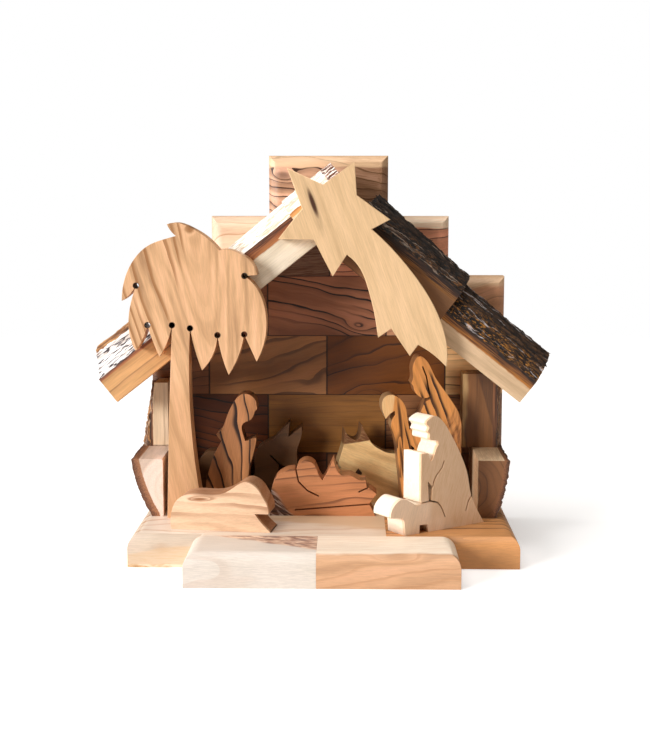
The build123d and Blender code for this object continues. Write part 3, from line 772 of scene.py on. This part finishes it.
# %% Rings of points
skin_step = 0.55
fewest_steps = 12
flat_steps = 90
trial_spokes = 1440
arc_steps = 60
bark_facing = 0.2
core_share = 0.3
end_inset = 0.02


def log_axes(points, along, outward):
    """Directions along, across and out of a log, and its reach in each."""
    along, outward = Vector(along).normalized(), Vector(outward).normalized()
    across = outward.cross(along)
    if across.y + across.z < 0:
        across = -across
    axes = (along, across, outward)
    reach = [(min(p.dot(axis) for p in points), max(p.dot(axis) for p in points)) for axis in axes]
    return axes, reach


def spoke(tree, angle, centre, side, rise):
    """Where a ray leaves a log, and which way the surface looks there."""
    return tree.ray_cast(centre, side * math.cos(angle) + rise * math.sin(angle))[:2]


def spoke_angles(tree, middle, across, outward):
    """Angles of the spokes, bark first, and how many steps are bark."""
    fine = [math.tau * i / trial_spokes for i in range(trial_spokes)]
    barked = [spoke(tree, a, middle, across, outward)[1].dot(outward) > bark_facing for a in fine]
    first = next(i for i in range(trial_spokes) if barked[i] and not barked[i - 1])
    low_angle = fine[first]
    high_angle = low_angle + math.tau * (sum(barked) - 1) / trial_spokes
    sweep = high_angle - low_angle
    trial = [low_angle + sweep * i / arc_steps for i in range(arc_steps + 1)]
    trial = [spoke(tree, a, middle, across, outward)[0] for a in trial]
    arc = sum((b - a).length for a, b in zip(trial, trial[1:]))
    bark_steps = max(fewest_steps, round(arc / (skin_step * mm)))
    angles = [low_angle + sweep * i / bark_steps for i in range(bark_steps + 1)]
    rest = math.tau - sweep
    angles += [high_angle + rest * i / flat_steps for i in range(1, flat_steps)]
    return angles, bark_steps


def log_rings(tree, axes, reach):
    """Rings of points along a log with their middles, and how many steps are bark."""
    along, across, outward = axes
    (a_low, a_high), (q_low, q_high), (o_low, o_high) = reach
    middle = along * (a_low + a_high) / 2 + across * (q_low + q_high) / 2
    middle += outward * (o_low + core_share * (o_high - o_low))
    ends = []
    for way in (-1, 1):
        hit, normal, _, _ = tree.ray_cast(middle, way * along)
        flat = [axis - along * (axis.dot(normal) / along.dot(normal)) for axis in (across, outward)]
        ends.append((hit - way * along * end_inset * mm, *flat))
    angles, bark_steps = spoke_angles(tree, middle, across, outward)
    ring_count = max(fewest_steps, round((a_high - a_low) / (skin_step * mm)))
    rings = []
    for i in range(ring_count + 1):
        centre, side, rise = (a.lerp(b, i / ring_count) for a, b in zip(*ends))
        rings.append((centre, [spoke(tree, a, centre, side, rise)[0] for a in angles]))
    return rings, bark_steps


print("rings of points every", skin_step, "mm")

# %% Log skin
end_shares = (0.1, 0.2, 0.3, 0.4, 0.5, 0.6, 0.75)


def rind_round(ring, bark_steps, layer):
    """1 on the bark, falling to 0 over the rind's thickness on the sawn sides."""
    spokes = len(ring)
    values = [1.0] * (bark_steps + 1) + [0.0] * (spokes - bark_steps - 1)
    for way, order in ((1, range(bark_steps + 1, spokes)), (-1, range(spokes - 1, bark_steps, -1))):
        gone = 0.0
        for i in order:
            gone += (ring[i] - ring[(i - way) % spokes]).length
            values[i] = max(values[i], 1 - gone / (layer * mm))
    return values


def log_skin(node, along, outward, layer):
    """A closed, finely divided copy of a log, with its rind marked."""
    points = [v.co for v in solids[node].data.vertices]
    tree = BVHTree.FromPolygons(points, [p.vertices for p in solids[node].data.polygons])
    axes, reach = log_axes(points, along, outward)
    rings, bark_steps = log_rings(tree, axes, reach)
    starts = (0.0, reach[1][0], reach[2][0])
    verts, places, rinds, faces = [], [], [], []

    def add(point, rind):
        verts.append(point)
        places.extend((point.dot(axis) - start) / mm for axis, start in zip(axes, starts))
        rinds.append(rind)
        return len(verts) - 1

    def join(row, following):
        for i in range(len(row)):
            j = (i + 1) % len(row)
            faces.append((row[i], row[j], following[j], following[i]))

    rows = [[add(p, r) for p, r in zip(ring, rind_round(ring, bark_steps, layer))] for _, ring in rings]
    for row, following in zip(rows, rows[1:]):
        join(row, following)
    for (centre, ring), row in ((rings[0], rows[0]), (rings[-1], rows[-1])):
        bark_line = KDTree(bark_steps + 1)
        for i in range(bark_steps + 1):
            bark_line.insert(ring[i], i)
        bark_line.balance()
        for share in end_shares:
            inner = []
            for edge_point in ring:
                point = edge_point.lerp(centre, share)
                inner.append(add(point, max(0.0, 1 - bark_line.find(point)[2] / (layer * mm))))
            join(row, inner)
            row = inner
        hub = add(centre, 0.0)
        faces.extend((row[i], row[(i + 1) % len(row)], hub) for i in range(len(row)))
    mesh = bpy.data.meshes.new(f"{node}_skin")
    mesh.from_pydata(verts, [], faces)
    mesh.attributes.new("log_place", "FLOAT_VECTOR", "POINT").data.foreach_set("vector", places)
    mesh.attributes.new("rind", "FLOAT", "POINT").data.foreach_set("value", rinds)
    form = bmesh.new()
    form.from_mesh(mesh)
    bmesh.ops.recalc_face_normals(form, faces=form.faces)
    form.to_mesh(mesh)
    form.free()
    return mesh


print("log skins ready")

# %% [markdown]
# ## Bark relief
# Bark follows the log: long ridges with furrows between them, broken into plates, with loose flakes on top.
# A Geometry Nodes tree fits that, because one rule serves all nine logs with other numbers. It lifts the
# rind straight out of the log, so the sawn sides stay flat, keeps the height as a note for the finish, and
# scatters flakes along the log. Behind a given line the bark may stand higher, as on the lower left slab,
# whose front half has lost its outer layer.

# %% Relief tree and its inputs
relief = bpy.data.node_groups.new("bark_relief", "GeometryNodeTree")
relief_inputs = {}
for kind, names in {
    "Geometry": ("Log",), "Vector": ("Along", "Outward"),
    "Float": (
        "Depth", "Ridge Length", "Ridge Width", "Rear From", "Rear Depth", "Flake Density", "Flake Size"),
    "Int": ("Seed",), "Material": ("Finish",),
}.items():
    for name in names:
        socket = relief.interface.new_socket(name=name, in_out="INPUT", socket_type=f"NodeSocket{kind}")
        relief_inputs[name] = socket.identifier
relief.interface.new_socket(name="Bark", in_out="OUTPUT", socket_type="NodeSocketGeometry")
entry = relief.nodes.new("NodeGroupInput")
given = {name: Field(entry.outputs[name]) for name in relief_inputs}
log = given["Log"]
print(len(given), "inputs of the relief tree")

# %% Height of the bark
seed_shift = 13.7
place = log.node("GeometryNodeInputNamedAttribute", {"Name": "log_place"}, data_type="FLOAT_VECTOR")
rind = log.node("GeometryNodeInputNamedAttribute", {"Name": "rind"}, data_type="FLOAT")
s, q, h = place.parts()
shift = given["Seed"] * seed_shift
width = given["Ridge Width"]
flow = place.vector(s / given["Ridge Length"] + shift, q / width, h / width)
ridge_noise = flow.noise(detail=4.0, roughness=0.55)
ridges = log.maths("MAXIMUM", 1 - 6 * log.maths("ABSOLUTE", ridge_noise - 0.5), 0.0)
broken = place.vector(s / given["Ridge Length"] * 2 + shift, q / width, h / width)
plates = broken.node("ShaderNodeTexVoronoi", {"Vector": broken, "Scale": 1.0}, feature="DISTANCE_TO_EDGE")
grit = place.vector(s * 0.5 + shift, q * 1.2, h * 1.2).noise(detail=3.0, roughness=0.7)
height = ridges * 0.7 + plates.between(0.02, 0.2) * 0.35 + (grit - 0.5) * 0.9 - 0.55
ragged = (place.vector(s * 0.16 + shift, q * 0.1, shift).noise(detail=3.0) - 0.5) * 2.0
rear = (q + ragged).between(given["Rear From"], given["Rear From"] + 1.2)
sockets = {"Geometry": log, "Name": "relief", "Value": height}
kept = log.node("GeometryNodeStoreNamedAttribute", sockets, data_type="FLOAT")
on_bark = rind.maths("GREATER_THAN", rind, 0.995)
lift = (height * given["Depth"] + rear * (height + 0.6) * given["Rear Depth"]) * on_bark
offset = log.node("ShaderNodeVectorMath", {0: given["Outward"], 3: lift}, operation="SCALE")
lifted = log.node("GeometryNodeSetPosition", {"Geometry": kept, "Offset": offset})
print(len(relief.nodes), "nodes up to the height")

# %% Loose flakes
flake_tilt = (0.3, 0.2, 0.3)
least_flake = (0.6, 0.2, 0.08)
largest_flake = (2.2, 0.5, 0.2)
size_seed = 5
scatter = log.node(
    "GeometryNodeDistributePointsOnFaces",
    {"Mesh": lifted, "Selection": on_bark, "Density": given["Flake Density"], "Seed": given["Seed"]},
    out="Points").socket.node
flat_turn = log.node(
    "FunctionNodeAxesToRotation",
    {"Primary Axis": Field(scatter.outputs["Normal"]), "Secondary Axis": given["Along"]},
    primary_axis="Z", secondary_axis="X")
sockets = {"Min": tuple(-angle for angle in flake_tilt), "Max": flake_tilt, "Seed": given["Seed"]}
tilt = log.node("FunctionNodeRandomValue", sockets, data_type="FLOAT_VECTOR")
tilt_turn = log.node("FunctionNodeEulerToRotation", {"Euler": tilt})
sockets = {"Rotation": flat_turn, "Rotate By": tilt_turn}
turn = log.node("FunctionNodeRotateRotation", sockets, rotation_space="LOCAL")
sockets = {"Min": least_flake, "Max": largest_flake, "Seed": given["Seed"] + size_seed}
size = log.node("FunctionNodeRandomValue", sockets, data_type="FLOAT_VECTOR")
size = log.node("ShaderNodeVectorMath", {0: size, 3: given["Flake Size"]}, operation="SCALE")
flake = log.node("GeometryNodeMeshIcoSphere", {"Radius": 1.0, "Subdivisions": 1})
flakes = log.node(
    "GeometryNodeInstanceOnPoints",
    {"Points": Field(scatter.outputs["Points"]), "Instance": flake, "Rotation": turn, "Scale": size})
joined = relief.nodes.new("GeometryNodeJoinGeometry")
relief.links.new(flakes.socket, joined.inputs[0])
relief.links.new(lifted.socket, joined.inputs[0])
whole = log.node("GeometryNodeRealizeInstances", {"Geometry": Field(joined.outputs[0])})
whole = log.node("GeometryNodeSetMaterial", {"Geometry": whole, "Material": given["Finish"]})
leave = relief.nodes.new("NodeGroupOutput")
relief.links.new(whole.socket, leave.inputs[0])
print(len(relief.nodes), "nodes in the relief tree")

# %% [markdown]
# ## Log finish
# One finish serves a whole log: sawn wood where the rind note is low, three tones of cut rind from the
# wood outwards where the saw went through it, and bark where the note is full. Bark is dark in its furrows
# and paler on its ridges, partly its own tones and partly painted shade, with flecks near the sawn front
# and thin painted highlights, glints, along the log. Bleached bark has cracks instead, behind a line it may
# have other tones, and one end may fray to a tuft.

# %% Log finish
bark_stops = (0.0, 0.35, 0.75)
strip_stops = (0.1, 0.5, 0.9)
tuft_tones = ((0.42, "2a1a12"), (0.50, "8a5236"), (0.58, "efe6dc"))


def note(tree, attribute, out):
    """A number or vector that the skin keeps for its finish."""
    node = tree.nodes.new("ShaderNodeAttribute")
    node.attribute_name = attribute
    return Field(node.outputs[out])


def log_finish(name, wood, bark, strip, fleck, glint=None, crack=None, rear_from=None, rear=None, tuft=None):
    """Sawn wood, cut rind and bark on one log."""
    finish, shader = new_finish(name)
    tree = finish.node_tree
    sawn, fibre, _ = wood_figure(tree, **wood)
    place = note(tree, "log_place", "Vector")
    rind = note(tree, "rind", "Fac")
    relief_height = note(tree, "relief", "Fac")
    s, q, h = place.parts()
    mottle = place.grained(0.30, 0.9, detail=4.0, roughness=0.65)
    streak = place.grained(0.05, 1.1, detail=4.0, roughness=0.6)
    spots = place.vector(s * 0.45 + 31, q * 2.0, h * 2.0).noise(detail=4.0, roughness=0.75)
    hair = place.grained(0.08, 3.0, detail=3.0)
    # Darker in the furrows and paler on the ridges: partly the bark's own tones, partly painted shade.
    furrow_shade_and_streaks = relief_height * 0.8 + (streak - 0.5) * 1.3 + (mottle - 0.5) * 0.5 + 0.30
    rough = furrow_shade_and_streaks.tones(*zip(bark_stops, bark))
    if crack is None:
        # Glints: thin painted highlights along the log.
        glint_lines = place.grained(0.014, 0.26, 5, detail=2.0)
        rough = (spots.between(0.53, 0.60) * q.between(1.0, 12.0, 1.0, 0.1)).mixed(rough, tone(fleck))
        rough = (glint_lines.line(0.017) * mottle.between(0.38, 0.56) * 0.85).mixed(rough, tone(glint))
    else:
        torn = place.grained(0.09, 0.55, detail=2.0)
        slow = place.grained(0.03, 0.30, 5, detail=2.0)
        rough = (spots.between(0.5, 0.64) * 0.5).mixed(rough, tone(fleck))
        rough = (torn.line(0.06) * slow.between(0.42, 0.48)).mixed(rough, tone(crack))
    if rear:
        behind = (q + (mottle - 0.5) * 7.0).between(rear_from, rear_from + 0.5)
        rough = behind.mixed(rough, furrow_shade_and_streaks.tones(*zip(bark_stops, rear)))
    cut = (rind + (streak - 0.5) * 1.2 + (hair - 0.5) * 2.2).tones(*zip(strip_stops, strip))
    colour = (rind + (mottle - 0.5) * 0.12).between(0.02, 0.09).mixed(sawn, cut)
    colour = rind.between(0.95, 0.99).mixed(colour, rough)
    if tuft is not None:
        frayed = (s + (mottle - 0.5) * 4.0).between(tuft, tuft + 0.6, 1.0, 0.0) * rind.between(0.1, 0.6)
        colour = frayed.mixed(colour, mottle.tones(*tuft_tones))
    on_bark = rind.between(0.9, 1.0)
    smooth = fibre.between(0.25, 0.75, 0.40, 0.60)
    height = fibre * 0.35 + on_bark * (mottle * 2.0)
    bump = {"Strength": 0.35, "Distance": 0.8 * mm, "Height": height}
    feed(shader, {
        "Base Color": colour, "Roughness": smooth + on_bark * mottle.between(0.3, 0.7, 0.12, 0.34),
        "Normal": height.node("ShaderNodeBump", bump)})
    return finish


print("log finish ready")

# %% Dressed log
sharp_angle = math.radians(42)
off_the_log = 1000.0


def dress_log(node, slot, heart_depth, run, outward, wood, layer, bark, seed, depth, flakes, ridge,
              flake_size, rear_from=off_the_log, rear_depth=0.0):
    """A log with bark in relief, standing for its solid."""
    low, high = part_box(node)
    heart = (low + high) / (2 * mm) - heart_depth * Vector(outward)
    wood = dict(wood, grain=run, heart=heart, seed=2.0 * seed)
    finish = log_finish(f"{node}_finish", wood, **bark)
    draft = placed("draft", log_skin(node, run, outward, layer))
    modifier = draft.modifiers.new("bark", "NODES")
    modifier.node_group = relief
    ridge_length, ridge_width = ridge
    for name, value in {
        "Along": run, "Outward": outward, "Depth": depth * mm, "Ridge Length": ridge_length,
        "Ridge Width": ridge_width, "Rear From": rear_from, "Rear Depth": rear_depth * mm,
        "Flake Density": flakes / mm / mm, "Flake Size": flake_size * mm, "Seed": seed, "Finish": finish,
    }.items():
        modifier[relief_inputs[name]] = value
    piece = settle(baked(draft), f"{node}_bark", node, finish)
    piece.data.shade_smooth()
    piece.data.set_sharp_from_angle(angle=sharp_angle)
    print(piece.name, len(piece.data.polygons), "faces")


print("logs can be dressed")

# %% [markdown]
# ## Roof slabs
# The right slope keeps its rough dark bark, whose cut edge shows on the front as a brown band over cream
# wood. The upper right slab lies in the star's shadow: its wood and band are painted in that shadow, and its
# bark is darker partly for the same painted shadow. On the left slope the bark is bleached and cracked, and
# near the ridge it is worn to a pale skin over a red-brown band; both are near white partly as painted
# light. `layer` is the thickness of a log's rind.

# %% Roof slabs
roof_pitch = math.radians(38.2)
roof_heart_depth = 40


def slope(side):
    """Directions down the roof and out of it, on its right (1) or left (-1) side."""
    level, steep = math.cos(roof_pitch), math.sin(roof_pitch)
    return (side * level, 0.0, -steep), (side * steep, 0.0, level)


right_slope, left_slope = slope(1), slope(-1)
# The glint tones here and below are painted highlights along the bark.
dark_bark = dict(bark=("070302", "1e1008", "4e341f"), fleck="b0742c", glint="cfc6c6")
# Bark of the upper right slab: dark, and darker partly as painted shadow of the star.
dark_bark_in_painted_shadow = dict(bark=("050201", "140a05", "382415"), fleck="6e4620", glint="a08c7c")
# Near-white bark and skin of the left slope: partly their own pale tone, partly painted light.
worn_skin_painted_light = dict(bark=("d9c3a8", "f6eee4", "fffdfa"), fleck="f5e9da", crack="c9b49c")
bleached_bark_painted_light = dict(
    bark=("c9bcb4", "efe9e6", "fcfafa"), fleck="c9b29e", crack="2a1a20", rear_from=12.5,
    rear=("1e1108", "7a4a24", "b88a58"))
cream_wood = dict(wood="eddec5", vein="a87a4c", sway=1.5)
end_wood = dict(cream_wood, wood="dab993")
# Sawn wood of the upper right slab: cream wood painted in the star's shadow.
wood_in_painted_star_shadow = dict(wood="7f5633", vein="7a4e2c", sway=1.5)
orange_wood = dict(
    wood="d39f66", vein="6a3e1e", sway=2.0, veins=0.9, spread=0.26,
    veined=((-88, -4.6, 63.5), (0.618, 0, -0.786), 2.5))
# Each row: run, outward, wood, layer, bark, seed, depth, flakes, ridge, flake size, rear line and depth.
roof_slabs = {
    # The upper right slab's cut rind is darker too, as painted shadow of the star.
    "roof_slab_right_upper": (
        *right_slope, wood_in_painted_star_shadow, 4.7, dict(dark_bark_in_painted_shadow, strip=("8a5a2a", "3e2416", "22120b")),
        1, 1.3, 0.05, (26.0, 2.6), 1.1),
    "roof_slab_right_lower": (
        *right_slope, end_wood, 3.9, dict(dark_bark, strip=("b0702e", "6e4220", "1e0f08")),
        2, 1.4, 0.05, (26.0, 3.0), 1.1),
    "roof_slab_left_upper": (
        *left_slope, cream_wood, 4.7, dict(worn_skin_painted_light, strip=("b0703f", "945530", "4a2a1c")),
        3, 0.3, 0.0, (16.0, 4.0), 1.0),
    "roof_slab_left_lower": (
        *left_slope, orange_wood, 1.4, dict(bleached_bark_painted_light, strip=("b06c3e", "8e5230", "6a3a22")),
        4, 0.35, 0.012, (22.0, 3.6), 1.0, 12.8, 0.5),
    "roof_ridge_block": (
        *left_slope, cream_wood, 1.7, dict(worn_skin_painted_light, strip=("dca970", "d29a5e", "b97c48"), tuft=-92.0),
        5, 0.5, 0.01, (10.0, 3.0), 1.0),
}
for node, row in roof_slabs.items():
    dress_log(node, "roof_slabs", roof_heart_depth, *row)

# %% [markdown]
# ## Side logs
# Four short lengths of branch: two lie on the base and two stand on them. Their sawn ends face the viewer
# and their bark faces outwards, so the rind shows as a brown edge. Zones set off paler and darker sides; on
# the right lower log the pale top and left face are painted light.

# %% Side logs
side_heart_depth = 12
side_ridge, side_flake_size = (12.0, 2.8), 0.9
left_way, right_way = (-1.0, 0.0, 0.0), (1.0, 0.0, 0.0)
rearward, upward = (0.0, 1.0, 0.0), (0.0, 0.0, 1.0)
# Its glint is a painted highlight along the bark.
side_bark = dict(
    bark=("2a190f", "6a452a", "9c6f45"), strip=("8a5836", "6a4229", "3f2617"), fleck="b98450", glint="c7ae94")
red_bark = dict(side_bark, strip=("a8744e", "8a583a", "5e3824"))
pale_end = dict(cream_wood, wood="e8cebb")
split_wood = dict(
    cream_wood, wood="edd0ac", vein="8a6240", veins=0.4,
    zones=(((-72, 16, 37.0), (0, 0, -1), 0.3, "4a2a18", 0.8),))
brown_wood = dict(wood="8b5c36", vein="3a2416", ring=3.2, sway=2.0, veins=0.45)
olive_wood = dict(
    brown_wood, wood="83562f",
    zones=(
        ((59.5, 16.4, 48), (-1, 0, 0.05), 2.5, "d2ad76", 0.9),
        ((66.5, 16.4, 54.5), (0.953, 0.0, 0.305), 0.8, "4f3320", 0.85)))
# Pale top and pale left face: painted light.
brown_wood_painted_lit = dict(
    brown_wood,
    zones=(
        ((66, 0, 35.9), (0, 0, 1), 0.3, "ecd0aa", 0.9),
        ((61.6, 0, 20), (-1, 0, 0), 0.3, "efcda4", 0.9)))
side_logs = {
    "side_log_left_lower": (rearward, left_way, pale_end, 3.4, red_bark, 6, 0.6, 0.02),
    "side_log_right_lower": (rearward, right_way, brown_wood_painted_lit, 2.0, side_bark, 7, 0.7, 0.04),
    "side_log_left_upper": (upward, left_way, split_wood, 0.9, side_bark, 8, 1.3, 0.08),
    "side_log_right_upper": (upward, right_way, olive_wood, 2.0, side_bark, 9, 0.7, 0.04),
}
for node, row in side_logs.items():
    dress_log(node, "side_logs", side_heart_depth, *row, side_ridge, side_flake_size)
